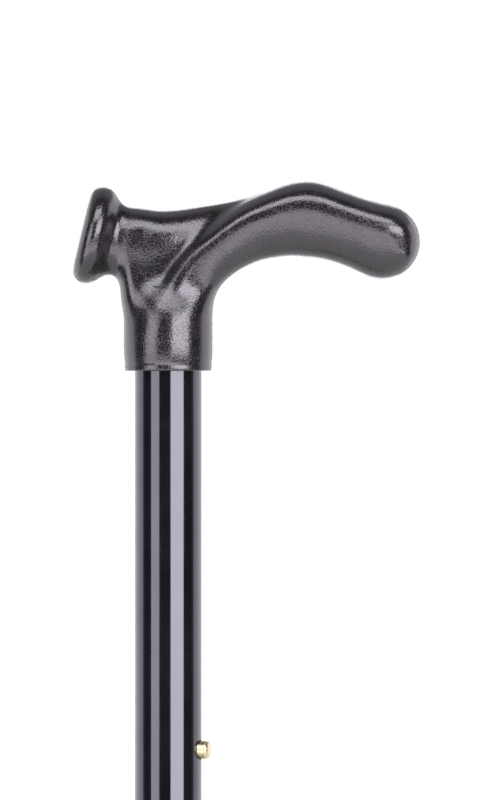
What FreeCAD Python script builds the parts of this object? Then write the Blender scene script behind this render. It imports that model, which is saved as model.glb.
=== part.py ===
"""Height-adjustable single point cane with a palm grip, in millimetres.

The frame has its origin at the middle of the ferrule's sole, on the axis of the tubes. +Z is up the
cane, and +X is the way the palm end of the grip points. The cane stands at its shortest setting: the
snap button is in the highest hole of the upper tube.
"""
import FreeCAD, Part
import math
import os
import re

import Sketcher

# ---------------------------------------------------------------------------------------------------
# Driving sizes: alias, value, meaning. The sheet holds them, and every feature is bound to its cells.
# ---------------------------------------------------------------------------------------------------
SIZES = {
    # tubes
    "lower_od": (19.0, "outer diameter of the lower tube"),
    "lower_wall": (1.2, "wall of the lower tube"),
    "tube_gap": (0.3, "radial gap between the lower tube and the upper one"),
    "upper_wall": (1.2, "wall of the upper tube"),
    "lower_length": (533.0, "length of the lower tube"),
    "hole_count": (13, "holes in the upper tube, one for each height"),
    "hole_pitch": (20.0, "distance from hole to hole"),
    "hole_play": (0.3, "gap round the button in a hole of the upper tube"),
    "foot_margin": (70.0, "upper tube left below its lowest hole"),
    "run_gap": (0.1, "radial gap of a part that slides in or on a tube"),
    "past": (1.0, "how far a cut runs past the wall it goes through"),
    "edge_bevel": (1.0, "bevel on the edges of the plastic and rubber pieces"),
    # snap button and its spring
    "button_dia": (6.0, "diameter of the button's pin"),
    "button_drop": (22.0, "button's axis below the lower tube's top end"),
    "button_proud": (3.2, "button's tip beyond the upper tube"),
    "button_turn": (15.0, "degrees from +X towards -Y at which the button points"),
    "button_rim": (1.0, "width of the button's flange round its pin"),
    "button_rim_thick": (1.0, "thickness of the button's flange"),
    "button_tip_round": (1.6, "rounding of the button's tip"),
    "button_play": (0.1, "gap round the button in the lower tube's hole and behind its flange"),
    "spring_width": (9.0, "width of the spring's strip"),
    "spring_thick": (0.8, "thickness of the spring's strip"),
    "spring_tail": (32.0, "length of the spring below the button"),
    "spring_head": (5.5, "length of the spring above the button"),
    "spring_bend": (2.4, "half the width of the spring at its bend"),
    # grip and what fastens it
    "grip_rise": (125.0, "grip's rim above the button's axis at the shortest setting"),
    "socket_depth": (26.0, "upper tube inside the grip"),
    "socket_play": (0.2, "room above the tube plug in the grip"),
    "neck_wall": (3.65, "wall of the grip's neck round the tube"),
    "neck_taper": (0.45, "how much the rim's radius is less than the neck's"),
    "neck_taper_high": (4.5, "height over which the neck tapers to its rim"),
    "neck_high": (18.0, "height of the round part of the neck"),
    "rim_round": (0.9, "rounding of the neck's rim"),
    "pin_dia": (4.0, "diameter of the grip's roll pin"),
    "pin_bore": (2.0, "bore of the roll pin"),
    "pin_slot": (0.6, "slot of the roll pin"),
    "pin_rise": (12.5, "roll pin's axis above the grip's rim"),
    "pin_deep": (5.8, "inner end of the roll pin from the tube's axis"),
    "pin_sunk": (0.5, "roll pin's outer end below the neck's surface"),
    "cap_thick": (2.0, "flange of a tube plug"),
    "cap_shank": (25.0, "shank of the upper tube's plug"),
    "flange_lean": (13.5, "degrees by which the thumb flange leans towards the palm end"),
    "flange_x": (-25.05, "middle of the thumb flange along X"),
    "flange_z": (44.55, "middle of the thumb flange above the grip's rim"),
    "corner_share": (0.88, "corner radius of a bar or flange section as a share of its smaller half"),
    "throat_share": (0.97, "corner radius of the throat's sections as a share of half their width"),
    # guide plug at the top of the lower tube
    "guide_high": (6.0, "height of the guide plug's head"),
    "guide_shank": (10.0, "shank of the guide plug"),
    "guide_bore": (4.0, "radius of the guide plug's bore"),
    # twist lock at the foot of the upper tube
    "thread_wall": (2.0, "wall of the lock bush round the upper tube"),
    "thread_gap": (0.3, "radial gap between the lock bush's thread and the nut"),
    "bush_high": (16.0, "height of the lock bush above the tube's foot"),
    "bush_guide": (6.0, "height of the lock bush below the tube's foot"),
    "bush_ring": (3.0, "height of the lock bush's ring"),
    "bush_ring_out": (1.5, "how far the lock bush's ring stands out of its thread"),
    "cone_deep": (4.0, "depth of the cone in which the collet wedges"),
    "cone_flare": (1.9, "how much wider the cone is at its mouth"),
    "collet_high": (9.0, "height of the collet ring"),
    "collet_slot": (2.0, "slot that lets the collet ring close"),
    "collet_reach": (0.6, "share of the bush's cone that the collet ring fills"),
    "lock_gap": (0.3, "gap along the axis between the lock's pieces"),
    "nut_wall": (2.6, "wall of the lock nut"),
    "nut_lip": (3.0, "thickness of the lock nut's lip"),
    "nut_bevel": (1.5, "bevel on the lock nut's lower edge"),
    "nut_cover": (12.0, "lock nut's top above the tube's foot"),
    "nut_flutes": (16, "finger flutes round the lock nut"),
    "flute_radius": (2.2, "radius of a finger flute"),
    "flute_deep": (0.9, "depth of a finger flute"),
    # ferrule and its washer
    "sole_thick": (12.0, "rubber under the washer"),
    "washer_thick": (2.0, "thickness of the ferrule's washer"),
    "washer_bore": (6.0, "bore of the ferrule's washer"),
    "ferrule_high": (46.0, "height of the ferrule"),
    "ferrule_wall": (3.5, "wall of the ferrule's neck"),
    "base_flare": (6.0, "how far the ferrule's base stands out of its neck"),
    "base_high": (7.0, "height of the ferrule's base band"),
    "base_bevel": (1.5, "bevel round the sole"),
    "bell_high": (14.0, "height over which the ferrule narrows from base to neck"),
    "bell_in": (0.55, "share of the flare that the ferrule has lost at the bell's waist"),
    "bell_up": (0.25, "share of the bell's height at which its waist lies"),
    "ring_count": (4, "grooves round the ferrule's neck"),
    "ring_deep": (0.8, "depth of the grooves round the ferrule's neck"),
    "ring_high": (1.6, "height of a groove round the ferrule's neck"),
    "ring_pitch": (4.0, "distance from groove to groove"),
    "tread_deep": (2.0, "depth of the sole's ring grooves"),
    "tread_wide": (2.2, "width of the sole's ring grooves"),
    "tread_inner": (4.5, "inner radius of the sole's smaller ring groove"),
    "tread_outer": (10.5, "inner radius of the sole's larger ring groove"),
}

# Sizes and levels worked out from the driving ones.
WORKED_OUT = {
    "lower_r": "lower_od / 2",
    "lower_bore_r": "lower_r - lower_wall",
    "upper_bore_r": "lower_r + tube_gap",
    "upper_r": "upper_bore_r + upper_wall",
    "foot_z": "sole_thick + washer_thick",
    "lower_top_z": "foot_z + lower_length",
    "button_z": "lower_top_z - button_drop",
    "button_r": "button_dia / 2",
    "button_tip": "upper_r + button_proud",
    "button_rim_r": "button_r + button_rim",
    "button_seat": "sqrt((lower_bore_r - button_play) ^ 2 - button_rim_r ^ 2)",
    "button_back": "button_seat - button_rim_thick",
    "spring_face": "button_back - button_play",
    "spring_far": "sqrt((lower_bore_r - button_play) ^ 2 - (spring_width / 2) ^ 2)",
    "grip_z": "button_z + grip_rise",
    "upper_top_z": "grip_z + socket_depth",
    "upper_foot_z": "button_z - (hole_count - 1) * hole_pitch - foot_margin",
    "upper_length": "upper_top_z - upper_foot_z",
    "neck_r": "upper_r + neck_wall",
    "rim_r": "neck_r - neck_taper",
    "thread_r": "upper_r + thread_wall",
    "guide_r": "lower_r + run_gap",
    "cone_r": "guide_r + cone_flare",
    "nut_bore_r": "thread_r + thread_gap",
    "nut_r": "nut_bore_r + nut_wall",
    "lip_r": "lower_r + run_gap + lock_gap",
    "collet_step": "collet_high - cone_deep",
    "collet_z": "upper_foot_z - bush_guide - collet_step",
    "nut_z": "collet_z - nut_lip",
    "nut_high": "upper_foot_z + nut_cover - nut_z",
    "ferrule_neck_r": "lower_r + ferrule_wall",
    "base_r": "ferrule_neck_r + base_flare",
    "neck_start": "base_high + bell_high",
    "pin_out": "neck_r - pin_sunk",
}

# Sections of the palm bar along X: x, top and bottom above the grip's rim, and width.
PALM_STATIONS = [
    (-13.0, 53.9, 30.0, 19.0),
    (0.0, 53.0, 29.0, 20.5),
    (14.0, 54.7, 30.0, 23.0),
    (28.0, 57.8, 35.4, 26.5),
    (45.0, 62.8, 37.4, 30.5),
    (58.0, 59.3, 34.6, 33.0),
    (70.0, 55.7, 30.1, 33.5),
    (77.0, 53.7, 31.2, 30.0),
    (81.5, 49.6, 37.2, 21.0),
    (83.2, 45.6, 41.2, 10.0),
]

# Sections of the thumb flange along its own leaning axis: place, half height and half width.
FLANGE_STATIONS = [
    (-4.0, 11.5, 9.5),
    (-3.2, 14.0, 12.0),
    (-1.6, 16.0, 13.8),
    (0.4, 16.6, 14.4),
    (2.4, 15.9, 13.6),
    (5.0, 13.6, 11.2),
    (8.0, 12.2, 9.6),
    (13.0, 11.6, 9.2),
    (20.0, 11.2, 9.2),
]

# Sections of the throat up the Z axis: height above the rim, then how much less than the neck they
# reach at the thumb end, how much more at the palm end, and how much less on each side.
THROAT_STATIONS = [
    (17.0, 0.15, -0.15, 0.15),
    (24.0, 0.0, 1.0, 0.55),
    (30.0, -0.3, 4.8, 1.9),
    (34.0, -0.5, 9.8, 2.9),
    (40.0, -0.5, 19.4, 3.6),
]

NEAR = 0.01             # millimetres within which two places count as the same
LEAST_CUT = 0.1         # cubic millimetres that a cut has to take away at least

document = FreeCAD.newDocument("Cane")


def station_name(kind, number, what):
    """The alias of one size of one section."""
    return f"{kind}{number}_{what}"


def list_stations():
    """Adds the sections' sizes to the driving sizes."""
    tables = (
        ("palm", PALM_STATIONS, ("place", "top", "bottom", "width")),
        ("flange", FLANGE_STATIONS, ("place", "tall", "wide")),
        ("throat", THROAT_STATIONS, ("place", "less", "more", "waist")),
    )
    for kind, stations, columns in tables:
        for number, station in enumerate(stations):
            for what, size in zip(columns, station):
                SIZES[station_name(kind, number, what)] = (size, f"{kind} section {number}: {what}")


def make_sheet():
    """The spreadsheet of driving sizes."""
    sheet = document.addObject("Spreadsheet::Sheet", "Sizes")
    for row, (alias, (size, meaning)) in enumerate(SIZES.items(), start=1):
        sheet.set(f"A{row}", alias)
        sheet.set(f"B{row}", str(size))
        sheet.setAlias(f"B{row}", alias)
        sheet.set(f"C{row}", meaning)
    document.recompute()
    return sheet


# ---------------------------------------------------------------------------------------------------
# Formulas, sketches and features
# ---------------------------------------------------------------------------------------------------
def formula(words):
    """The formula with each size's name turned into its cell, and each worked-out size written out."""
    def cell(match):
        word = match.group(0)
        if word in WORKED_OUT:
            return "(" + formula(WORKED_OUT[word]) + ")"
        return "Sizes." + word if word in SIZES else word
    return re.sub(r"[a-z][a-z_0-9]*", cell, words)


def amount(words):
    """The present value of a formula."""
    return float(sheet.evalExpression(formula(words)))


def bind(thing, prop, words):
    """Binds a property to a formula in the driving sizes."""
    thing.setExpression(prop, formula(words))


def new_body(name, z="0", turn=None):
    """An empty body labelled with its node's name, standing at height z and turned about Z."""
    body = document.addObject("PartDesign::Body", name)
    body.Label = name
    bind(body, "Placement.Base.z", z)
    if turn is not None:
        body.Placement.Rotation = FreeCAD.Rotation(FreeCAD.Vector(0, 0, 1), amount(turn))
        bind(body, "Placement.Rotation.Angle", turn)
    return body


def origin_plane(body, role):
    """One of the body's own origin planes."""
    return next(feature for feature in body.Origin.OriginFeatures if feature.Role == role)


def new_sketch(body, name, role, along="0", up="0", lean=None, turn=None):
    """A sketch on an origin plane, moved along its normal and up, and leant or turned if asked."""
    sketch = body.newObject("Sketcher::SketchObject", name)
    sketch.AttachmentSupport = [(origin_plane(body, role), "")]
    sketch.MapMode = "FlatFace"
    for axis, words in ((FreeCAD.Vector(1, 0, 0), lean), (FreeCAD.Vector(0, 1, 0), turn)):
        if words is not None:
            rotation = FreeCAD.Rotation(axis, amount(words))
            sketch.AttachmentOffset = FreeCAD.Placement(FreeCAD.Vector(), rotation)
            bind(sketch, "AttachmentOffset.Rotation.Angle", words)
    bind(sketch, "AttachmentOffset.Base.z", along)
    bind(sketch, "AttachmentOffset.Base.y", up)
    return sketch


def constrain(sketch, kind, *details, words=None):
    """Adds a constraint, bound to a formula if it has one."""
    if words is None:
        return sketch.addConstraint(Sketcher.Constraint(kind, *details))
    index = sketch.addConstraint(Sketcher.Constraint(kind, *details, amount(words)))
    bind(sketch, f"Constraints[{index}]", words)
    return index


def place_point(sketch, geometry, end, x, y):
    """Fixes a sketch point at x and y from the sketch's origin, each a formula."""
    for kind, axis_line, words in (("DistanceX", -2, x), ("DistanceY", -1, y)):
        if words == "0":
            constrain(sketch, "PointOnObject", geometry, end, axis_line)
        else:
            constrain(sketch, kind, -1, 1, geometry, end, words=words)


def draw_polygon(sketch, points):
    """A closed outline of straight edges through points, each a pair of formulas."""
    corners = [FreeCAD.Vector(amount(x), amount(y), 0) for x, y in points]
    count = len(corners)
    lines = [sketch.addGeometry(Part.LineSegment(corners[i], corners[(i + 1) % count])) for i in range(count)]
    for i, line in enumerate(lines):
        constrain(sketch, "Coincident", line, 2, lines[(i + 1) % count], 1)
        place_point(sketch, line, 1, *points[i])


def draw_circle(sketch, radius, x="0", y="0"):
    """A circle of a radius about a point, all formulas."""
    centre = FreeCAD.Vector(amount(x), amount(y), 0)
    circle = sketch.addGeometry(Part.Circle(centre, FreeCAD.Vector(0, 0, 1), amount(radius)))
    place_point(sketch, circle, 3, x, y)
    constrain(sketch, "Radius", circle, words=radius)


def draw_rounded_box(sketch, left, right, bottom, top, corner):
    """An upright box outline with four equal round corners, from formulas."""
    x0, x1, y0, y1, r = (amount(words) for words in (left, right, bottom, top, corner))
    quarter = math.pi / 2
    sides = [((x0 + r, y0), (x1 - r, y0)), ((x1, y0 + r), (x1, y1 - r)),
             ((x1 - r, y1), (x0 + r, y1)), ((x0, y1 - r), (x0, y0 + r))]
    centres = [(x1 - r, y0 + r), (x1 - r, y1 - r), (x0 + r, y1 - r), (x0 + r, y0 + r)]
    lines, arcs = [], []
    for number, ((start, end), centre) in enumerate(zip(sides, centres)):
        lines.append(sketch.addGeometry(Part.LineSegment(FreeCAD.Vector(*start, 0), FreeCAD.Vector(*end, 0))))
        circle = Part.Circle(FreeCAD.Vector(*centre, 0), FreeCAD.Vector(0, 0, 1), r)
        first = (number - 1) * quarter
        arcs.append(sketch.addGeometry(Part.ArcOfCircle(circle, first, first + quarter)))
    for number in range(4):
        constrain(sketch, "Tangent", lines[number], 2, arcs[number], 1)
        constrain(sketch, "Tangent", arcs[number], 2, lines[(number + 1) % 4], 1)
        constrain(sketch, "Horizontal" if number % 2 == 0 else "Vertical", lines[number])
    for arc in arcs[1:]:
        constrain(sketch, "Equal", arcs[0], arc)
    constrain(sketch, "Radius", arcs[0], words=corner)
    constrain(sketch, "DistanceX", -1, 1, lines[3], 1, words=left)
    constrain(sketch, "DistanceX", -1, 1, lines[1], 1, words=right)
    constrain(sketch, "DistanceY", -1, 1, lines[0], 1, words=bottom)
    constrain(sketch, "DistanceY", -1, 1, lines[2], 1, words=top)


def revolve(body, sketch):
    """Turns a sketch of the XZ plane right round the Z axis."""
    feature = body.newObject("PartDesign::Revolution", sketch.Name + "_turned")
    feature.Profile = sketch
    feature.ReferenceAxis = (sketch, ["V_Axis"])
    feature.Angle = 360
    document.recompute()
    return feature


def pad(body, sketch, length, midplane=False):
    """Raises a sketch along its normal, or half each way."""
    feature = body.newObject("PartDesign::Pad", sketch.Name + "_raised")
    feature.Profile = sketch
    feature.Midplane = midplane
    bind(feature, "Length", length)
    document.recompute()
    return feature


def cut(body, kind, sketch, **settings):
    """A Pocket or Groove, which has to take something away."""
    before = body.Shape.Volume
    feature = body.newObject("PartDesign::" + kind, sketch.Name + "_cut")
    feature.Profile = sketch
    for prop, setting in settings.items():
        if isinstance(setting, str):
            bind(feature, prop, setting)
        else:
            setattr(feature, prop, setting)
    document.recompute()
    if not body.Shape.Volume < before - LEAST_CUT:
        raise RuntimeError(f"{feature.Name} cuts nothing from {body.Label}")
    return feature


def repeat(body, kind, feature, axis, **settings):
    """A LinearPattern or PolarPattern of one feature, which becomes the body's tip."""
    pattern = body.newObject("PartDesign::" + kind, feature.Name + "_pattern")
    pattern.Originals = [feature]
    setattr(pattern, "Axis" if kind == "PolarPattern" else "Direction", axis)
    for prop, setting in settings.items():
        if isinstance(setting, str):
            bind(pattern, prop, setting)
        else:
            setattr(pattern, prop, setting)
    body.Tip = pattern
    document.recompute()
    return pattern


def loft(body, sketches):
    """A smooth solid through a row of sections."""
    feature = body.newObject("PartDesign::AdditiveLoft", sketches[0].Name + "_loft")
    feature.Profile = sketches[0]
    feature.Sections = sketches[1:]
    feature.Ruled = False
    document.recompute()
    return feature


def round_edges(body, radius, wanted):
    """Rounds the edges whose middle point and length satisfy a test."""
    base = body.Tip
    names = [f"Edge{number}" for number, edge in enumerate(base.Shape.Edges, start=1) if wanted(edge)]
    if not names:
        raise RuntimeError(f"no edge to round on {body.Label}")
    feature = body.newObject("PartDesign::Fillet", body.Name + "_round")
    feature.Base = (base, names)
    bind(feature, "Radius", radius)
    document.recompute()
    return feature


def ring_at(z, radius):
    """A test for the circular edge at height z with a radius, both formulas, in a body's own frame."""
    def wanted(edge):
        curve = edge.Curve
        if not isinstance(curve, Part.Circle):
            return False
        return abs(curve.Center.z - amount(z)) < NEAR and abs(curve.Radius - amount(radius)) < NEAR
    return wanted


# ---------------------------------------------------------------------------------------------------
# Pieces
# ---------------------------------------------------------------------------------------------------
def make_tube(name, z, outer_r, bore_r, length):
    """A plain round tube."""
    body = new_body(name, z)
    section = new_sketch(body, name + "_section", "XY_Plane")
    draw_circle(section, outer_r)
    draw_circle(section, bore_r)
    pad(body, section, length)
    return body


def drill_for_button(body, name, radius, depth, height):
    """A round hole through the tube's wall on the button's side, at a height in the body's frame."""
    hole = new_sketch(body, name, "YZ_Plane", turn="-button_turn")
    draw_circle(hole, radius, "0", height)
    return hole, cut(body, "Pocket", hole, Reversed=True, Length=depth)


def make_upper_tube():
    """Outer tube under the grip, with a row of holes for the button and one for the roll pin."""
    body = make_tube("upper_tube", "upper_foot_z", "upper_r", "upper_bore_r", "upper_length")
    hole, drilled = drill_for_button(
        body, "height_hole", "button_r + hole_play", "upper_r + past", "button_z - upper_foot_z")
    repeat(body, "LinearPattern", drilled, (hole, ["V_Axis"]), Reversed=True,
           Length="(hole_count - 1) * hole_pitch", Occurrences="hole_count")
    pin_hole = new_sketch(body, "tube_pin_hole", "XZ_Plane")
    draw_circle(pin_hole, "pin_dia / 2", "0", "grip_z + pin_rise - upper_foot_z")
    cut(body, "Pocket", pin_hole, Length="upper_r + past")


def make_lower_tube():
    """Inner tube, which slides in the upper one and carries the button."""
    body = make_tube("lower_tube", "foot_z", "lower_r", "lower_bore_r", "lower_length")
    drill_for_button(body, "button_hole", "button_r + button_play", "lower_r + past", "button_z - foot_z")


def make_upper_tube_plug():
    """Plastic plug that closes the upper tube and backs the roll pin."""
    body = new_body("upper_tube_plug", "upper_top_z - cap_shank")
    profile = new_sketch(body, "plug_profile", "XZ_Plane")
    draw_polygon(profile, [
        ("0", "0"), ("upper_bore_r", "0"), ("upper_bore_r", "cap_shank"), ("upper_r", "cap_shank"),
        ("upper_r", "cap_shank + cap_thick"), ("0", "cap_shank + cap_thick")])
    revolve(body, profile)
    hole = new_sketch(body, "plug_pin_hole", "XZ_Plane", along="-pin_deep")
    draw_circle(hole, "pin_dia / 2", "0", "grip_z + pin_rise - upper_top_z + cap_shank")
    cut(body, "Pocket", hole, Length="upper_r")


def make_grip_pin():
    """Slotted roll pin through the back of the neck, the tube and the plug."""
    body = new_body("grip_pin", "grip_z + pin_rise")
    section = new_sketch(body, "pin_section", "XZ_Plane", along="-pin_out")
    draw_circle(section, "pin_dia / 2")
    draw_circle(section, "pin_bore / 2")
    pad(body, section, "pin_out - pin_deep")
    slot = new_sketch(body, "pin_slot_cut", "XZ_Plane", along="-pin_out - past")
    draw_polygon(slot, [
        ("-pin_slot / 2", "0"), ("pin_slot / 2", "0"), ("pin_slot / 2", "pin_dia"),
        ("-pin_slot / 2", "pin_dia")])
    cut(body, "Pocket", slot, Reversed=True, Length="pin_out - pin_deep + 2 * past")


def palm_sections(body):
    """The palm bar's sections, upright, from the throat to the palm end."""
    sketches = []
    for number in range(len(PALM_STATIONS)):
        place, top, bottom, width = (
            station_name("palm", number, what) for what in ("place", "top", "bottom", "width"))
        sketch = new_sketch(body, f"palm_section_{number}", "YZ_Plane", along=place)
        corner = f"corner_share * min({width}; {top} - {bottom}) / 2"
        draw_rounded_box(sketch, f"-{width} / 2", f"{width} / 2", bottom, top, corner)
        sketches.append(sketch)
    return sketches


def flange_sections(body):
    """The thumb flange's sections, leaning together."""
    sketches = []
    for number in range(len(FLANGE_STATIONS)):
        place, tall, wide = (station_name("flange", number, what) for what in ("place", "tall", "wide"))
        sketch = new_sketch(
            body, f"flange_section_{number}", "YZ_Plane", lean="flange_lean",
            along=f"flange_x + {place} * cos(flange_lean * 1deg)",
            up=f"flange_z - {place} * sin(flange_lean * 1deg)")
        draw_rounded_box(sketch, f"-{wide}", wide, f"-{tall}", tall, f"corner_share * min({wide}; {tall})")
        sketches.append(sketch)
    return sketches


def throat_sections(body):
    """The throat's sections, level, from the round neck up into the bar."""
    sketches = []
    for number in range(len(THROAT_STATIONS)):
        place, less, more, waist = (
            station_name("throat", number, what) for what in ("place", "less", "more", "waist"))
        sketch = new_sketch(body, f"throat_section_{number}", "XY_Plane", along=place)
        half = f"(neck_r - {waist})"
        draw_rounded_box(
            sketch, f"-(neck_r - {less})", f"neck_r + {more}", f"-{half}", half, f"throat_share * {half}")
        sketches.append(sketch)
    return sketches


def make_grip():
    """Palm grip: round neck, throat, palm bar and thumb flange in one moulding."""
    body = new_body("grip", "grip_z")
    neck = new_sketch(body, "neck_profile", "XZ_Plane")
    draw_polygon(neck, [
        ("0", "0"), ("rim_r", "0"), ("neck_r", "neck_taper_high"), ("neck_r", "neck_high"),
        ("0", "neck_high")])
    revolve(body, neck)
    loft(body, throat_sections(body))
    loft(body, palm_sections(body))
    loft(body, flange_sections(body))
    socket = new_sketch(body, "socket_section", "XY_Plane")
    draw_circle(socket, "upper_r")
    cut(body, "Pocket", socket, Reversed=True, Length="socket_depth + cap_thick + socket_play")
    hole = new_sketch(body, "grip_pin_hole", "XZ_Plane")
    draw_circle(hole, "pin_dia / 2", "0", "pin_rise")
    cut(body, "Pocket", hole, Length="neck_r + past")
    round_edges(body, "rim_round", ring_at("0", "rim_r"))


def make_guide_plug():
    """Plastic plug in the lower tube's top end, whose head guides it in the upper tube."""
    body = new_body("guide_plug", "lower_top_z - guide_shank")
    profile = new_sketch(body, "guide_profile", "XZ_Plane")
    head = "upper_bore_r - run_gap"
    top = "guide_shank + guide_high"
    draw_polygon(profile, [
        ("guide_bore", "0"), ("lower_bore_r", "0"), ("lower_bore_r", "guide_shank"),
        (head, "guide_shank"), (head, f"{top} - edge_bevel"), (f"{head} - edge_bevel", top),
        ("guide_bore", top)])
    revolve(body, profile)


def make_snap_spring():
    """Bent spring strip that pushes the button out, with its bend at the bottom."""
    body = new_body("snap_spring", "button_z - spring_tail", "-button_turn")
    profile = new_sketch(body, "spring_profile", "XZ_Plane")
    high = "spring_tail + spring_head"
    knee = "spring_tail - button_rim_r"
    draw_polygon(profile, [
        ("-spring_bend", "0"), ("spring_bend", "0"), ("spring_face", knee), ("spring_face", high),
        ("spring_face - spring_thick", high), ("spring_face - spring_thick", knee),
        ("spring_bend - spring_thick", "spring_thick"), ("-spring_bend + spring_thick", "spring_thick"),
        ("-spring_far + spring_thick", knee), ("-spring_far + spring_thick", high),
        ("-spring_far", high), ("-spring_far", knee)])
    pad(body, profile, "spring_width", midplane=True)


def make_snap_button():
    """Brass button: a pin with a domed tip and a flange that stops it at the lower tube's wall."""
    body = new_body("snap_button", "button_z", "-button_turn")
    flange = new_sketch(body, "button_flange", "YZ_Plane", along="button_back")
    draw_circle(flange, "button_rim_r")
    pad(body, flange, "button_rim_thick")
    shank = new_sketch(body, "button_shank", "YZ_Plane", along="button_back")
    draw_circle(shank, "button_r")
    pad(body, shank, "button_tip - button_back")
    tip = amount("button_tip")
    round_edges(body, "button_tip_round", lambda edge: abs(edge.BoundBox.XMin - tip) < NEAR)


def make_lock_bush():
    """Threaded sleeve on the upper tube's foot, with a guide bore and the collet's cone below."""
    body = new_body("lock_bush", "upper_foot_z - bush_guide")
    profile = new_sketch(body, "bush_profile", "XZ_Plane")
    top = "bush_guide + bush_high"
    ring = "thread_r + bush_ring_out"
    draw_polygon(profile, [
        ("cone_r", "0"), ("thread_r", "0"), ("thread_r", f"{top} - bush_ring"),
        (ring, f"{top} - bush_ring"), (ring, f"{top} - edge_bevel"), (f"{ring} - edge_bevel", top),
        ("upper_r", top), ("upper_r", "bush_guide"),
        ("guide_r", "bush_guide"), ("guide_r", "cone_deep")])
    revolve(body, profile)


def make_collet_ring():
    """Split ring with a cone, which the nut pushes into the bush so that it grips the lower tube."""
    body = new_body("collet_ring", "collet_z")
    profile = new_sketch(body, "collet_profile", "XZ_Plane")
    top = "collet_step + collet_reach * cone_deep"
    draw_polygon(profile, [
        ("guide_r", "0"), ("thread_r - lock_gap", "0"), ("thread_r - lock_gap", "collet_step - lock_gap"),
        ("cone_r - lock_gap", "collet_step - lock_gap"),
        ("cone_r - lock_gap - collet_reach * cone_flare", top), ("guide_r", top)])
    revolve(body, profile)
    slot = new_sketch(body, "collet_slot_cut", "XY_Plane")
    draw_polygon(slot, [
        ("-collet_slot / 2", "0"), ("collet_slot / 2", "0"), ("collet_slot / 2", "thread_r + past"),
        ("-collet_slot / 2", "thread_r + past")])
    cut(body, "Pocket", slot, Reversed=True, Length="collet_high + past")


def make_lock_nut():
    """Fluted nut on the bush's thread, whose lip carries the collet ring."""
    body = new_body("lock_nut", "nut_z")
    profile = new_sketch(body, "nut_profile", "XZ_Plane")
    draw_polygon(profile, [
        ("lip_r", "0"), ("nut_r - nut_bevel", "0"), ("nut_r", "nut_bevel"),
        ("nut_r", "nut_high - edge_bevel"), ("nut_r - edge_bevel", "nut_high"), ("nut_bore_r", "nut_high"),
        ("nut_bore_r", "nut_lip - lock_gap"), ("lip_r", "nut_lip - lock_gap")])
    revolve(body, profile)
    flute = new_sketch(body, "flute_section", "XY_Plane", along="nut_lip")
    draw_circle(flute, "flute_radius", "nut_r + flute_radius - flute_deep", "0")
    cut_flute = cut(body, "Pocket", flute, Reversed=True, Length="nut_high - 2 * nut_lip")
    repeat(body, "PolarPattern", cut_flute, (flute, ["N_Axis"]), Angle=360.0, Occurrences="nut_flutes")


def make_ferrule():
    """Rubber tip with a flared base, rings round its neck and ring grooves in its sole."""
    body = new_body("ferrule")
    profile = new_sketch(body, "ferrule_profile", "XZ_Plane")
    draw_polygon(profile, [
        ("0", "0"), ("base_r - base_bevel", "0"), ("base_r", "base_bevel"), ("base_r", "base_high"),
        ("base_r - bell_in * base_flare", "base_high + bell_up * bell_high"),
        ("ferrule_neck_r", "neck_start"), ("ferrule_neck_r", "ferrule_high - edge_bevel"),
        ("ferrule_neck_r - edge_bevel", "ferrule_high"),
        ("lower_r", "ferrule_high"), ("lower_r", "sole_thick"), ("0", "sole_thick")])
    revolve(body, profile)
    ring = new_sketch(body, "ring_groove", "XZ_Plane")
    high = "ferrule_high - ring_pitch"
    low = f"{high} - ring_high"
    draw_polygon(ring, [
        ("ferrule_neck_r - ring_deep", low), ("ferrule_neck_r + past", low),
        ("ferrule_neck_r + past", high), ("ferrule_neck_r - ring_deep", high)])
    groove = cut(body, "Groove", ring, ReferenceAxis=(ring, ["V_Axis"]), Angle=360.0)
    repeat(body, "LinearPattern", groove, (ring, ["V_Axis"]), Reversed=True,
           Length="(ring_count - 1) * ring_pitch", Occurrences="ring_count")
    for name in ("tread_inner", "tread_outer"):
        tread = new_sketch(body, name + "_ring", "XY_Plane")
        draw_circle(tread, name)
        draw_circle(tread, f"{name} + tread_wide")
        cut(body, "Pocket", tread, Reversed=True, Length="tread_deep")


def make_ferrule_washer():
    """Steel washer that keeps the tube's end from cutting through the rubber."""
    body = new_body("ferrule_washer", "sole_thick")
    section = new_sketch(body, "washer_section", "XY_Plane")
    draw_circle(section, "lower_r")
    draw_circle(section, "washer_bore / 2")
    pad(body, section, "washer_thick")


def check_document():
    """Stops if an object failed or a piece has no sound solid."""
    for thing in document.Objects:
        if {"Invalid", "Error"} & set(thing.State):
            raise RuntimeError(f"{thing.Name} failed: {thing.State}")
    for body in document.findObjects("PartDesign::Body"):
        shape = body.Shape
        if shape.isNull() or not shape.isValid() or len(shape.Solids) != 1:
            raise RuntimeError(f"{body.Label} is not one sound solid")


def write_parts():
    """Writes each piece to its own file."""
    os.makedirs("parts", exist_ok=True)
    for body in document.findObjects("PartDesign::Body"):
        body.Shape.exportStep(f"parts/{body.Label}.step")


list_stations()
sheet = make_sheet()
make_grip()
make_grip_pin()
make_upper_tube_plug()
make_upper_tube()
make_lock_bush()
make_collet_ring()
make_lock_nut()
make_lower_tube()
make_guide_plug()
make_snap_spring()
make_snap_button()
make_ferrule_washer()
make_ferrule()
document.recompute()
check_document()
write_parts()
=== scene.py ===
"""Looks of the single point cane: a sculpted palm grip, finished tubes and fittings, and the studio."""
import math

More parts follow.
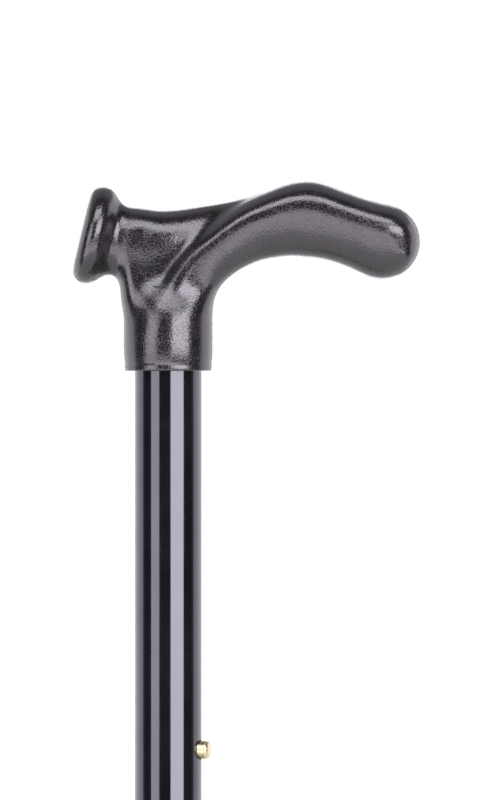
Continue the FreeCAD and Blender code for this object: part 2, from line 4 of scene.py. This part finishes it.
import bpy
import numpy as np
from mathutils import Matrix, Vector


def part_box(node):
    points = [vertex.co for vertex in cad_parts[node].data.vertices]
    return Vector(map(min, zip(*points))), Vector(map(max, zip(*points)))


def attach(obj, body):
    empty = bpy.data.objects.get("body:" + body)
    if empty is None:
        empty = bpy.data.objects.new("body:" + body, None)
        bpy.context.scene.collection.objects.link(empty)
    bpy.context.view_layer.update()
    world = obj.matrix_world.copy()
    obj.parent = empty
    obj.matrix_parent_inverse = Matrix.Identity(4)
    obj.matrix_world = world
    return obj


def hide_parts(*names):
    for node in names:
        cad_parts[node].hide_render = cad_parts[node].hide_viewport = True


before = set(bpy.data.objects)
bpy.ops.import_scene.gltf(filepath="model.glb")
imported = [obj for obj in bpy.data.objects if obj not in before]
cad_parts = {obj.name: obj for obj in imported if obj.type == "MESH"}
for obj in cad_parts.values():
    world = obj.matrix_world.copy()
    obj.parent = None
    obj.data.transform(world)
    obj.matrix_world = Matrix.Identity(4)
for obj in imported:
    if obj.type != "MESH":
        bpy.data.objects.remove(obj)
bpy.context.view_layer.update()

MM = 0.001

# The height of the grip's rim above the floor, in metres.
GRIP_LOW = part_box("grip")[0].z


# ---------------------------------------------------------------------------------------------------
# Fields: each takes arrays of x, y, z in millimetres from the middle of the grip's rim, and gives
# roughly the distance to a shape's surface, negative inside. -Y is the thumb's side.
# ---------------------------------------------------------------------------------------------------
def smooth_min(a, b, reach):
    """The lesser of two fields, blended where they are within reach of each other."""
    near = np.maximum(reach - np.abs(a - b), 0.0) / reach
    return np.minimum(a, b) - near * near * reach / 4


def smooth_max(a, b, reach):
    """The greater of two fields, blended where they are within reach of each other."""
    return -smooth_min(-a, -b, reach)


def smooth_path(stations, steps=6):
    """A Catmull-Rom curve through rows of station values."""
    rows = np.array(stations, float)
    padded = np.vstack([2 * rows[0] - rows[1], rows, 2 * rows[-1] - rows[-2]])
    made = []
    for i in range(len(rows) - 1):
        p0, p1, p2, p3 = padded[i:i + 4]
        for t in np.linspace(0, 1, steps, endpoint=False):
            made.append(0.5 * (2 * p1 + (p2 - p0) * t + (2 * p0 - 5 * p1 + 4 * p2 - p3) * t ** 2
                               + (3 * p1 - p0 - 3 * p2 + p3) * t ** 3))
    made.append(rows[-1])
    return np.array(made)


def superellipse(u, v, half_u, half_v, power):
    """Roughly the distance to a superellipse, from two coordinates as shares of its half sizes."""
    u = np.maximum(u, 1e-4)
    v = np.maximum(v, 1e-4)
    size = (u ** power + v ** power) ** (1 / power)
    slope = np.hypot((u / size) ** (power - 1) / half_u, (v / size) ** (power - 1) / half_v)
    return (size - 1) / slope


# A bar's taper starts a little above its spine and goes on a little past its underside. The first is
# in half heights of the bar, the second in shares of the whole taper.
TAPER_TOP = 0.6
TAPER_MOST = 1.2


def bar_field(x, y, z, stations, power, low_power=None, taper=0.0):
    """A bar swept along a spine in the XZ plane. A station is x, z, half height, near and far half
    widths. Its cross-section is a superellipse, which may have another power below the spine, and gets
    narrower towards its underside by the taper."""
    path = smooth_path(stations)
    shape = np.broadcast(x, z).shape
    best = np.full(shape, np.inf)
    above = np.zeros(shape)
    half = np.zeros((3,) + shape)
    for a, b in zip(path[:-1], path[1:]):
        along = b[:2] - a[:2]
        t = np.clip(((x - a[0]) * along[0] + (z - a[1]) * along[1]) / (along @ along), 0, 1)
        away = np.hypot(x - a[0] - t * along[0], z - a[1] - t * along[1])
        side = ((z - a[1]) * along[0] - (x - a[0]) * along[1]) / math.sqrt(along @ along)
        closer = away < best
        best = np.where(closer, away, best)
        above = np.where(closer, side, above)
        for k in range(3):
            half[k] = np.where(closer, a[2 + k] + t * (b[2 + k] - a[2 + k]), half[k])
    wide = np.where(y < 0, half[1], half[2])
    wide = wide * (1 - taper * np.clip((TAPER_TOP - above / half[0]) / (1 + TAPER_TOP), 0, TAPER_MOST))
    made = superellipse(best / half[0], np.abs(y) / wide, half[0], wide, power)
    if low_power:
        low = superellipse(best / half[0], np.abs(y) / wide, half[0], wide, low_power)
        made = np.where(above > 0, made, low)
    return made


# The grip's three bars, as stations of x, z, half height, near half width and far half width: the palm
# from the throat to its end, the web from the flange into the palm, and the rib under the web's front.
PALM = [
    (2.0, 12.0, 7.5, 12.0, 12.5),
    (4.5, 23.5, 9.0, 12.8, 13.2),
    (9.4, 32.3, 9.0, 12.9, 13.5),
    (16.5, 39.0, 8.7, 13.2, 13.5),
    (26.0, 45.1, 9.9, 13.6, 13.8),
    (36.0, 48.6, 11.3, 14.4, 14.4),
    (45.5, 50.1, 12.7, 15.2, 15.2),
    (54.5, 48.1, 11.9, 15.8, 16.0),
    (62.5, 45.5, 11.8, 16.2, 16.4),
    (70.6, 42.7, 12.6, 16.4, 16.6),
]
WEB = [
    (-9.0, 44.6, 8.4, 10.0, 9.5),
    (-2.0, 44.6, 8.4, 10.2, 9.5),
    (5.0, 45.1, 8.4, 9.6, 9.5),
    (12.0, 46.0, 8.5, 8.0, 9.6),
    (18.0, 46.8, 8.6, 6.4, 9.8),
    (30.0, 48.4, 9.4, 6.0, 10.4),
]
RIB = [
    (-11.0, 24.0, 3.0, 8.0, 10.0),
    (-12.3, 33.0, 3.3, 7.6, 10.5),
    (-12.4, 41.0, 3.4, 7.4, 10.5),
    (-9.5, 48.0, 4.0, 7.2, 10.0),
]
PALM_POWER = 2.5
PALM_LOW_POWER = 3.4
PALM_TAPER = 0.33
WEB_POWER = 2.3
WEB_SHIFT = 2.0
RIB_POWER = 2.4

# The thumb flange, seen from the side, and the stem that joins it to the web.
FLANGE_MIDDLE = (-24.25, 44.8)
FLANGE_LEAN = math.radians(13.5)
FLANGE_HALF_HEIGHT = 16.5
FLANGE_HALF_WIDTH = 14.4
FLANGE_ROUND = 3.4
FLANGE_POWER = 2.15
STEM_HALF_HEIGHT = 11.0
STEM_HALF_WIDTH = 6.6
STEM_POWER = 2.2
STEM_START = -1.0
STEM_STOP = 18.0

# The round neck, which flares a little just above the rim.
NECK_RADIUS = 14.2
NECK_FLARE = 0.5
NECK_FLARE_HIGH = 6.0
NECK_TOP = 47.0

# Nothing stands out past the neck below the collar's top. Above it the limit opens, with the square
# of the height.
COLLAR_HIGH = 18.0
COLLAR_OPENING = 3.0

# The thumb's scoop: a point on its sloping edge, the edge's slope, how much its wall leans outwards,
# its floor's y, the rounding at the foot of the wall, and the height of its level edge at the front.
SCOOP_EDGE = (-5.5, 31.5)
SCOOP_SLOPE = math.radians(50)
SCOOP_TILT = math.radians(38)
SCOOP_FLOOR = -8.8
SCOOP_CORNER = 3.0
SCOOP_FRONT = 29.0

# How far from its seam each joint between two shapes is blended, and how far the whole is softened.
STEM_BLEND = 8.0
FRONT_BLEND = 4.0
SCOOP_BLEND = 8.0
NECK_TOP_BLEND = 12.0
RIB_BLEND = 4.0
NECK_BLEND = 5.0
FLANGE_BLEND = 3.0
PALM_BLEND = 2.5
GRIP_SOFTNESS = 1.3


def flange_field(x, y, z):
    """The front flange: a leaning oval plate with a round rim, and the stem behind it."""
    fx, fz = x - FLANGE_MIDDLE[0], z - FLANGE_MIDDLE[1]
    along = fx * math.cos(FLANGE_LEAN) - fz * math.sin(FLANGE_LEAN)
    up = fx * math.sin(FLANGE_LEAN) + fz * math.cos(FLANGE_LEAN)
    high = FLANGE_HALF_HEIGHT - FLANGE_ROUND
    wide = FLANGE_HALF_WIDTH - FLANGE_ROUND
    oval = superellipse(np.abs(up) / high, np.abs(y) / wide, high, wide, FLANGE_POWER)
    plate = np.hypot(np.maximum(oval, 0), along) - FLANGE_ROUND
    stem = superellipse(np.abs(up) / STEM_HALF_HEIGHT, np.abs(y) / STEM_HALF_WIDTH,
                        STEM_HALF_HEIGHT, STEM_HALF_WIDTH, STEM_POWER)
    stem = np.maximum(stem, np.maximum(STEM_START - along, along - STEM_STOP))
    return smooth_min(plate, stem, STEM_BLEND)


def scoop_field(x, y, z):
    """The space that the thumb's scoop takes out of the neck's near side, positive inside."""
    over = (z - SCOOP_EDGE[1]) * math.cos(SCOOP_SLOPE) - (x - SCOOP_EDGE[0]) * math.sin(SCOOP_SLOPE)
    over = smooth_max(over, z - SCOOP_FRONT, FRONT_BLEND)
    over = over * math.cos(SCOOP_TILT) + (SCOOP_FLOOR - y) * math.sin(SCOOP_TILT)
    scoop = SCOOP_CORNER - np.hypot(np.minimum(over - SCOOP_CORNER, 0),
                                    np.maximum(y - SCOOP_FLOOR + SCOOP_CORNER, 0))
    return np.where(y < SCOOP_FLOOR - SCOOP_CORNER, np.minimum(over, SCOOP_CORNER), scoop)


def grip_field(x, y, z):
    """The whole grip."""
    neck = np.hypot(x, y) - (NECK_RADIUS + NECK_FLARE * np.clip(z / NECK_FLARE_HIGH, 0, 1))
    post = smooth_max(neck, scoop_field(x, y, z), SCOOP_BLEND)
    post = smooth_max(post, z - NECK_TOP, NECK_TOP_BLEND)
    web = bar_field(x, y - WEB_SHIFT, z, WEB, WEB_POWER)
    rib = bar_field(x, y, z, RIB, RIB_POWER)
    palm = bar_field(x, y, z, PALM, PALM_POWER, PALM_LOW_POWER, PALM_TAPER)
    body = smooth_min(web, rib, RIB_BLEND)
    body = smooth_min(body, post, NECK_BLEND)
    body = smooth_min(body, flange_field(x, y, z), FLANGE_BLEND)
    body = smooth_min(body, palm, PALM_BLEND)
    collar = neck - COLLAR_OPENING * np.maximum(z - COLLAR_HIGH, 0) ** 2
    return np.maximum(np.maximum(body, collar), -z)


def blur(values, spread):
    """A Gaussian blur of a grid of values, with its spread in grid steps."""
    reach = int(math.ceil(3 * spread))
    weights = np.exp(-0.5 * (np.arange(-reach, reach + 1) / spread) ** 2)
    weights /= weights.sum()
    for axis in range(3):
        pads = [(reach, reach) if n == axis else (0, 0) for n in range(3)]
        padded = np.pad(values, pads, mode="edge")
        total = np.zeros_like(values)
        for i, weight in enumerate(weights):
            part = [slice(None)] * 3
            part[axis] = slice(i, i + values.shape[axis])
            total += weight * padded[tuple(part)]
        values = total
    return values


class Volume:
    """A field sampled on a grid and blurred, so that every edge and joint is rounded off."""

    def __init__(self, field, low, high, step, spread):
        self.low = np.array(low, float)
        self.step = step
        axes = [np.arange(a, b + step, step) for a, b in zip(low, high)]
        x, y, z = np.meshgrid(*axes, indexing="ij", sparse=True)
        self.values = blur(field(x, y, z), spread / step)
        self.slopes = np.gradient(self.values, step)

    def sample(self, points):
        """The value and the slope at points, by linear interpolation."""
        place = (points - self.low) / self.step
        base = np.clip(np.floor(place).astype(int), 0, np.array(self.values.shape) - 2)
        part = place - base
        made = np.zeros((4, len(points)))
        for corner in ((i, j, k) for i in (0, 1) for j in (0, 1) for k in (0, 1)):
            weight = np.prod(np.where(corner, part, 1 - part), axis=1)
            at = tuple((base + corner).T)
            for n, grid in enumerate([self.values] + list(self.slopes)):
                made[n] += weight * grid[at]
        return made[0], made[1:].T


def surface_net(values, low, step):
    """Vertices and quads where a grid of values changes sign: one vertex per cube."""
    inside = values < 0
    shape = np.array(values.shape) - 1
    corners = [(i, j, k) for i in (0, 1) for j in (0, 1) for k in (0, 1)]

    def shifted(array, corner):
        return array[tuple(slice(c, c + n) for c, n in zip(corner, shape))]

    count = sum(shifted(inside, c).astype(int) for c in corners)
    mixed = (count > 0) & (count < 8)
    index = np.full(tuple(shape), -1)
    index[mixed] = np.arange(mixed.sum())
    points = (np.argwhere(mixed) + 0.5) * step + low
    quads = []
    for axis in range(3):
        other = [n for n in range(3) if n != axis]
        near = [slice(None)] * 3
        far = [slice(None)] * 3
        near[axis], far[axis] = slice(0, -1), slice(1, None)
        a, b = inside[tuple(near)], inside[tuple(far)]
        for flip, cross in ((False, a & ~b), (True, ~a & b)):
            at = np.argwhere(cross)
            keep = np.all([(at[:, n] > 0) & (at[:, n] < shape[n]) for n in other], axis=0)
            at = at[keep]
            ring = []
            for du, dv in ((0, 0), (-1, 0), (-1, -1), (0, -1)):
                cell = at.copy()
                cell[:, other[0]] += du
                cell[:, other[1]] += dv
                ring.append(index[cell[:, 0], cell[:, 1], cell[:, 2]])
            ring = np.stack(ring, axis=1)
            if flip != (axis == 1):
                ring = ring[:, ::-1]
            quads.append(ring)
    return points, np.vstack(quads)


def settle(points, volume, rounds):
    """Moves points along the volume's slope on to its surface."""
    for _ in range(rounds):
        value, slope = volume.sample(points)
        size = np.maximum(np.linalg.norm(slope, axis=1), 0.3)
        points = points - np.clip(value / size, -1.0, 1.0)[:, None] * slope / size[:, None]
    return points


def relax(points, quads, volume, rounds):
    """Evens out the quads: each point goes halfway to its neighbours' middle, then back to the surface."""
    edges = np.vstack([quads[:, [i, (i + 1) % 4]] for i in range(4)])
    for _ in range(rounds):
        total = np.zeros_like(points)
        count = np.zeros(len(points))
        for a, b in ((0, 1), (1, 0)):
            np.add.at(total, edges[:, a], points[edges[:, b]])
            np.add.at(count, edges[:, a], 1)
        points = points * 0.5 + 0.5 * total / count[:, None]
        points = settle(points, volume, rounds=2)
    return points


def new_mesh_object(name, vertices, faces, smooth=True):
    """A mesh object in the scene."""
    mesh = bpy.data.meshes.new(name)
    mesh.from_pydata([tuple(v) for v in vertices], [], [tuple(int(i) for i in f) for f in faces])
    mesh.validate()
    if smooth:
        mesh.shade_smooth()
    thing = bpy.data.objects.new(name, mesh)
    bpy.context.scene.collection.objects.link(thing)
    return thing


def make_grip():
    """The moulded grip."""
    step, low, high = 0.5, (-35, -20, -4), (87, 20, 67)
    volume = Volume(grip_field, low, high, step, GRIP_SOFTNESS)
    points, quads = surface_net(volume.values[::2, ::2, ::2], volume.low, 2 * step)
    points = settle(points, volume, rounds=5)
    points = relax(points, quads, volume, rounds=4)
    grip = new_mesh_object("grip_moulding", points * MM + np.array([0, 0, GRIP_LOW]), quads)
    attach(grip, "upper")
    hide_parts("grip")
    return grip


def lathe(name, profile, sides=96, smooth=True):
    """A solid turned about Z, from a closed profile of radius and height in millimetres above the rim."""
    count = len(profile)
    turns = [2 * math.pi * i / sides for i in range(sides)]
    points = [(r * math.cos(a) * MM, r * math.sin(a) * MM, GRIP_LOW + h * MM)
              for a in turns for r, h in profile]
    faces = []
    for i in range(sides):
        for k in range(count):
            here, there = i * count, (i + 1) % sides * count
            faces.append((here + k, there + k, there + (k + 1) % count, here + (k + 1) % count))
    return new_mesh_object(name, points, faces, smooth)


def arc(centre_r, centre_z, radius, start, stop, steps=6):
    """Points along an arc, between two angles in degrees."""
    angles = np.radians(np.linspace(start, stop, steps))
    return [(centre_r + radius * math.cos(a), centre_z + radius * math.sin(a)) for a in angles]


def make_rim():
    """The crisp lip at the foot of the grip, just around the tube."""
    outer, edge, bore, chamfer = 14.3, 0.5, 11.1, 0.4
    belly, sunk = 0.06, 0.7
    middle, high = 2.2, 3.4
    profile = arc(outer - edge, edge, edge, -90, 0) + [(outer + belly, middle), (outer - sunk, high)]
    profile += [(bore, high), (bore, chamfer), (bore + chamfer, 0.0)]
    rim = lathe("grip_rim", profile)
    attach(rim, "upper")
    return rim


def stack(outlines, height):
    """The points and faces of a solid along Y, from outlines in millimetres, each with its y, about a
    point on the Z axis at a height in metres."""
    count = len(outlines[0][0])
    points = [(a * MM, y * MM, height + b * MM) for outline, y in outlines for a, b in outline]
    faces = [tuple(range(count - 1, -1, -1)), tuple(range(len(points) - count, len(points)))]
    for low in range(0, len(points) - count, count):
        for i in range(count):
            after = (i + 1) % count
            faces.append((low + i, low + after, low + count + after, low + count + i))
    return points, faces


def disc_part(radius, gap, side, sides=28):
    """The outline of the part of a disc on one side, 1 or -1, of a level line, a gap away from it."""
    start = math.asin(gap / radius)
    angles = np.linspace(start, math.pi - start, sides)
    return [(radius * math.cos(a) * side, radius * math.sin(a) * side) for a in angles]


def make_pin_head():
    """The slotted head of the pin that holds the grip, on the far side of its collar."""
    radius, gap, chamfer, sides = 2.7, 0.45, 0.3, 55
    back, slot_floor, shoulder, top = 12.5, 14.35, 14.75, 14.95
    overlap, gap_opening = 0.05, 0.1
    low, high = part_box("grip_pin")
    turns = [2 * math.pi * i / sides for i in range(sides)]
    ring = [(radius * math.cos(a), radius * math.sin(a)) for a in turns]
    solids = [[(ring, back), (ring, slot_floor)]]
    for side in (1, -1):
        outline = disc_part(radius, gap, side)
        edge = disc_part(radius - chamfer, gap + gap_opening, side)
        solids.append([(outline, slot_floor - overlap), (outline, shoulder), (edge, top)])
    points, faces = [], []
    for outlines in solids:
        more_points, more_faces = stack(outlines, (low.z + high.z) / 2)
        faces += [tuple(i + len(points) for i in face) for face in more_faces]
        points += more_points
    head = new_mesh_object("grip_pin_head", points, faces, smooth=False)
    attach(head, "upper")
    return head


# ---------------------------------------------------------------------------------------------------
# Studio
# ---------------------------------------------------------------------------------------------------
def node(tree, kind, inputs=None, **settings):
    """A shader node with its settings, and its inputs as values or links."""
    made = tree.nodes.new(kind)
    for name, value in settings.items():
        setattr(made, name, value)
    for socket, value in (inputs or {}).items():
        if isinstance(value, bpy.types.NodeSocket):
            tree.links.new(value, made.inputs[socket])
        else:
            made.inputs[socket].default_value = value
    return made


def math_node(tree, operation, *values):
    """The result of a Math node."""
    made = node(tree, "ShaderNodeMath", dict(enumerate(values)), operation=operation)
    return made.outputs[0]


def band(tree, angle, low, high, soft):
    """1 where an angle in degrees lies between two values, with soft edges."""
    def edge(at, before, after):
        inputs = {"Value": angle, "From Min": at - soft, "From Max": at + soft,
                  "To Min": before, "To Max": after}
        return node(tree, "ShaderNodeMapRange", inputs, interpolation_type="SMOOTHSTEP").outputs[0]

    return math_node(tree, "MULTIPLY", edge(low, 0.0, 1.0), edge(high, 1.0, 0.0))


# Softboxes: azimuth range from the front towards the palm end and elevation range, in degrees, and
# brightness.
SOFTBOXES = [
    (9, 55, -6, 22, 6.0),
    (-61, -31, -6, 22, 3.1),
    (-42, 35, 28, 56, 4.4),
    (97, 158, -40, 25, 0.95),
    (-158, -97, -40, 25, 0.95),
    (168, 181, -40, 30, 1.6),
    (-181, -168, -40, 30, 1.6),
    (9, 62, -90, -18, 2.7),
    (-31, 9, -90, -10, 2.4),
    (-66, -31, -90, -8, 2.6),
]
AZIMUTH_SOFTNESS = 1.2
ELEVATION_SOFTNESS = 2.0

# The room's own brightness, which is more in the cove behind the cane.
COVE_GLOW = 0.45
ROOM_GLOW = 0.03
LIGHT_TINT = (1.0, 0.985, 1.035, 1)


def make_world():
    """White to the camera, and softboxes by direction to everything else."""
    world = bpy.data.worlds.new("studio")
    bpy.context.scene.world = world
    world.use_nodes = True
    tree = world.node_tree
    tree.nodes.clear()
    place = node(tree, "ShaderNodeTexCoord").outputs["Generated"]
    xyz = node(tree, "ShaderNodeSeparateXYZ", {0: place}).outputs
    front = math_node(tree, "MULTIPLY", xyz[1], -1.0)
    azimuth = math_node(tree, "DEGREES", math_node(tree, "ARCTAN2", xyz[0], front))
    elevation = math_node(tree, "DEGREES", math_node(tree, "ARCSINE", xyz[2]))
    light = None
    for az0, az1, el0, el1, power in SOFTBOXES:
        across = band(tree, azimuth, az0, az1, AZIMUTH_SOFTNESS)
        upright = band(tree, elevation, el0, el1, ELEVATION_SOFTNESS)
        part = math_node(tree, "MULTIPLY", math_node(tree, "MULTIPLY", across, upright), power)
        light = part if light is None else math_node(tree, "ADD", light, part)
    glow = {"Value": front, "From Min": 0.1, "From Max": -0.3, "To Min": ROOM_GLOW, "To Max": COVE_GLOW}
    behind = node(tree, "ShaderNodeMapRange", glow, interpolation_type="SMOOTHSTEP")
    light = math_node(tree, "ADD", light, behind.outputs[0])
    studio = node(tree, "ShaderNodeBackground", {"Color": LIGHT_TINT, "Strength": light})
    white = node(tree, "ShaderNodeBackground", {"Color": (1, 1, 1, 1), "Strength": 1.0})
    seen = node(tree, "ShaderNodeLightPath").outputs["Is Camera Ray"]
    both = node(tree, "ShaderNodeMixShader", {0: seen, 1: studio.outputs[0], 2: white.outputs[0]})
    node(tree, "ShaderNodeOutputWorld", {"Surface": both.outputs[0]})


def make_camera():
    """A long lens, level, looking along +Y at the grip."""
    view_high, view_x, view_below_rim = 264.2 * MM, 23.7 * MM, 9.6 * MM
    centre = Vector((view_x, 0, GRIP_LOW - view_below_rim))
    lens, sensor = 350.0, 36.0
    distance = view_high * lens / sensor
    data = bpy.data.cameras.new("camera")
    data.lens = lens
    data.sensor_width = sensor
    data.clip_start, data.clip_end = 0.1, 100
    camera = bpy.data.objects.new("camera", data)
    camera.location = centre - Vector((0, distance, 0))
    camera.rotation_euler = (math.pi / 2, 0, 0)
    bpy.context.scene.collection.objects.link(camera)
    bpy.context.scene.camera = camera


# ---------------------------------------------------------------------------------------------------
# Materials: every pattern is worked out from the object's own coordinates, in metres.
# ---------------------------------------------------------------------------------------------------
# Gloss surfaces reflect about twice as much as bare plastic does.
GLOSS_IOR = 1.8
LEAST_ROUGHNESS = 0.05

# Drawn lines: how many times longer than wide, and how much rougher.
LINE_STRETCH = 120
LINE_ROUGHNESS = 0.05


def noise(tree, place, size, detail=2.0, stretch=(1, 1, 1)):
    """Noise from 0 to 1 with features of a given size in metres, stretched by a factor on each axis."""
    scale = [1 / (size * s) for s in stretch]
    spot = node(tree, "ShaderNodeVectorMath", {0: place, 1: scale}, operation="MULTIPLY").outputs[0]
    return node(tree, "ShaderNodeTexNoise", {"Vector": spot, "Scale": 1.0, "Detail": detail}).outputs["Fac"]


def spread(tree, value, low, high, to_low=0.0, to_high=1.0):
    """A value between two limits, carried over to two others."""
    inputs = {"Value": value, "From Min": low, "From Max": high, "To Min": to_low, "To Max": to_high}
    return node(tree, "ShaderNodeMapRange", inputs).outputs[0]


def blend(tree, share, first, second):
    """A mix of two colours."""
    made = node(tree, "ShaderNodeMix", data_type="RGBA")
    for socket, value in zip((made.inputs[0], made.inputs[6], made.inputs[7]), (share, first, second)):
        if isinstance(value, bpy.types.NodeSocket):
            tree.links.new(value, socket)
        elif isinstance(value, (int, float)):
            socket.default_value = value
        else:
            socket.default_value = (*value, 1)
    return made.outputs[2]


def finish(name, color, patch_color, patch, roughness, grain, metallic=0.0, lines=None, speckle=0.0,
           ior=1.5, gleam=(1, 1, 1)):
    """A material: patches of two colours, a roughness that varies between two values, and a grained
    surface, as the grain's size and depth. Lines are drawn along Z, as their width and depth. Speckle
    is how far the roughness varies from spot to spot. Gleam tints the reflections. Gives the material,
    its node tree, its shader and its coordinates."""
    material = bpy.data.materials.new(name)
    material.use_nodes = True
    tree = material.node_tree
    shader = tree.nodes["Principled BSDF"]
    place = node(tree, "ShaderNodeTexCoord").outputs["Object"]
    patches = spread(tree, noise(tree, place, patch, 3.0), 0.35, 0.65)
    tint = blend(tree, patches, color, patch_color)
    rough = spread(tree, noise(tree, place, patch * 0.6, 4.0), 0.3, 0.7, *roughness)
    size, depth = grain
    fine = noise(tree, place, size)
    bump = node(tree, "ShaderNodeBump", {"Height": fine, "Distance": depth, "Strength": 1.0})
    if speckle:
        spots = spread(tree, noise(tree, place, size * 0.8, 1.0), 0.4, 0.6, -speckle / 2, speckle / 2)
        rough = math_node(tree, "MAXIMUM", math_node(tree, "ADD", rough, spots), LEAST_ROUGHNESS)
    if lines:
        width, line_depth = lines
        drawn = noise(tree, place, width, 3.0, (1, 1, LINE_STRETCH))
        rough = math_node(tree, "ADD", rough, spread(tree, drawn, 0.5, 0.7, 0.0, LINE_ROUGHNESS))
        bump = node(tree, "ShaderNodeBump", {
            "Height": drawn, "Distance": line_depth, "Strength": 1.0, "Normal": bump.outputs[0]})
    tree.links.new(tint, shader.inputs["Base Color"])
    tree.links.new(rough, shader.inputs["Roughness"])
    tree.links.new(bump.outputs[0], shader.inputs["Normal"])
    shader.inputs["Metallic"].default_value = metallic
    shader.inputs["IOR"].default_value = ior
    shader.inputs["Specular Tint"].default_value = (*gleam, 1)
    return material, tree, shader, place


def grip_plastic():
    """Black moulded plastic with a fine leathery grain that breaks up its reflections."""
    return finish("grip_plastic", (0.009, 0.0078, 0.0088), (0.015, 0.0125, 0.014), 7 * MM, (0.16, 0.25),
                  (0.7 * MM, 0.06 * MM), speckle=0.2, ior=GLOSS_IOR, gleam=(0.98, 0.94, 1.0))[0]


def tube_black(name, roughness):
    """Gloss black tube, with faint draw lines."""
    return finish(name, (0.0045, 0.0045, 0.006), (0.0075, 0.0075, 0.0095), 14 * MM, roughness,
                  (1.6 * MM, 0.0008 * MM), lines=(0.35 * MM, 0.0004 * MM), ior=GLOSS_IOR,
                  gleam=(0.9, 0.9, 1.0))[0]


def black_nylon(name):
    """Satin black nylon."""
    return finish(name, (0.014, 0.014, 0.015), (0.021, 0.021, 0.022), 4 * MM, (0.36, 0.5),
                  (0.3 * MM, 0.012 * MM))[0]


def brass():
    """Pale polished brass, lightly rubbed."""
    return finish("brass", (0.78, 0.68, 0.47), (0.68, 0.57, 0.36), 1.2 * MM, (0.28, 0.42),
                  (0.25 * MM, 0.006 * MM), metallic=1.0)[0]


def steel(name):
    """Bright zinc-plated steel."""
    return finish(name, (0.60, 0.60, 0.59), (0.46, 0.47, 0.50), 1.5 * MM, (0.22, 0.4),
                  (0.2 * MM, 0.005 * MM), metallic=1.0)[0]


def ferrule_rubber():
    """Black rubber, dusty towards the floor."""
    material, tree, shader, place = finish(
        "ferrule_rubber", (0.013, 0.0125, 0.012), (0.02, 0.019, 0.018), 5 * MM, (0.5, 0.7),
        (0.35 * MM, 0.03 * MM))
    height = node(tree, "ShaderNodeSeparateXYZ", {0: place}).outputs[2]
    dust_top, dust_full, dust_most = 7 * MM, 0.5 * MM, 0.75
    low = spread(tree, height, dust_top, dust_full)
    patchy = spread(tree, noise(tree, place, 2.5 * MM, 6.0), 0.42, 0.68)
    dust = math_node(tree, "MULTIPLY", math_node(tree, "MULTIPLY", low, patchy), dust_most)
    clean = shader.inputs["Base Color"].links[0].from_socket
    tree.links.new(blend(tree, dust, clean, (0.17, 0.15, 0.125)), shader.inputs["Base Color"])
    return material


def floor_with_painted_light():
    """Pale studio floor with painted light: a little whiter away from the cane, so that the grip reflects a
    brighter floor, and a painted glow, as it gives off light of its own.
    """
    material, tree, shader, place = finish(
        "floor_pale_painted_light", (0.70, 0.71, 0.68), (0.72, 0.73, 0.70), 400 * MM, (0.75, 0.85), (3 * MM, 0.01 * MM))
    close = shader.inputs["Base Color"].links[0].from_socket
    reach = node(tree, "ShaderNodeVectorMath", {0: place}, operation="LENGTH").outputs["Value"]
    # Painted light: the floor's colour grows whiter away from the cane, to brighten its reflection in the
    # grip while the floor near the cane keeps its soft shadows.
    painted_light_start, painted_light_full = 0.25, 0.6
    away = spread(tree, reach, painted_light_start, painted_light_full)
    tree.links.new(blend(tree, away, close, (0.88, 0.89, 0.86)), shader.inputs["Base Color"])
    # Painted glow: the floor gives off light of its own, though it is no lamp, so that it looks white and
    # lights the grip's reflections.
    shader.inputs["Emission Color"].default_value = (1, 1, 1, 1)
    shader.inputs["Emission Strength"].default_value = 0.2
    return material


def dress(thing, material):
    """Gives a piece one material."""
    thing.data.materials.clear()
    thing.data.materials.append(material)


def make_floor():
    """A round pale floor."""
    sides, radius = 96, 1.1
    turns = [2 * math.pi * i / sides for i in range(sides)]
    ring = [(radius * math.cos(a), radius * math.sin(a), 0) for a in turns]
    floor = new_mesh_object("floor", ring, [range(sides)], smooth=False)
    dress(floor, floor_with_painted_light())
    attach(floor, "lower")


def make_pieces():
    """The pieces that are modelled here, with their materials."""
    plastic = grip_plastic()
    dress(make_grip(), plastic)
    dress(make_rim(), plastic)
    dress(make_pin_head(), steel("pin_head_steel"))


def dress_cad_pieces():
    """Gives each piece that is kept from the frame its material."""
    finishes = {
        "grip_pin": steel("pin_steel"),
        "upper_tube_plug": black_nylon("plug_nylon"),
        "upper_tube": tube_black("upper_tube_black", (0.05, 0.09)),
        "lock_bush": black_nylon("bush_nylon"),
        "collet_ring": black_nylon("collet_nylon"),
        "lock_nut": black_nylon("nut_nylon"),
        "lower_tube": tube_black("lower_tube_black", (0.08, 0.14)),
        "guide_plug": black_nylon("guide_nylon"),
        "snap_spring": steel("spring_steel"),
        "snap_button": brass(),
        "ferrule_washer": steel("washer_steel"),
        "ferrule": ferrule_rubber(),
    }
    for name, material in finishes.items():
        dress(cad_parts[name], material)


make_pieces()
dress_cad_pieces()
make_world()
make_camera()
make_floor()
bpy.context.scene.view_settings.view_transform = "Standard"
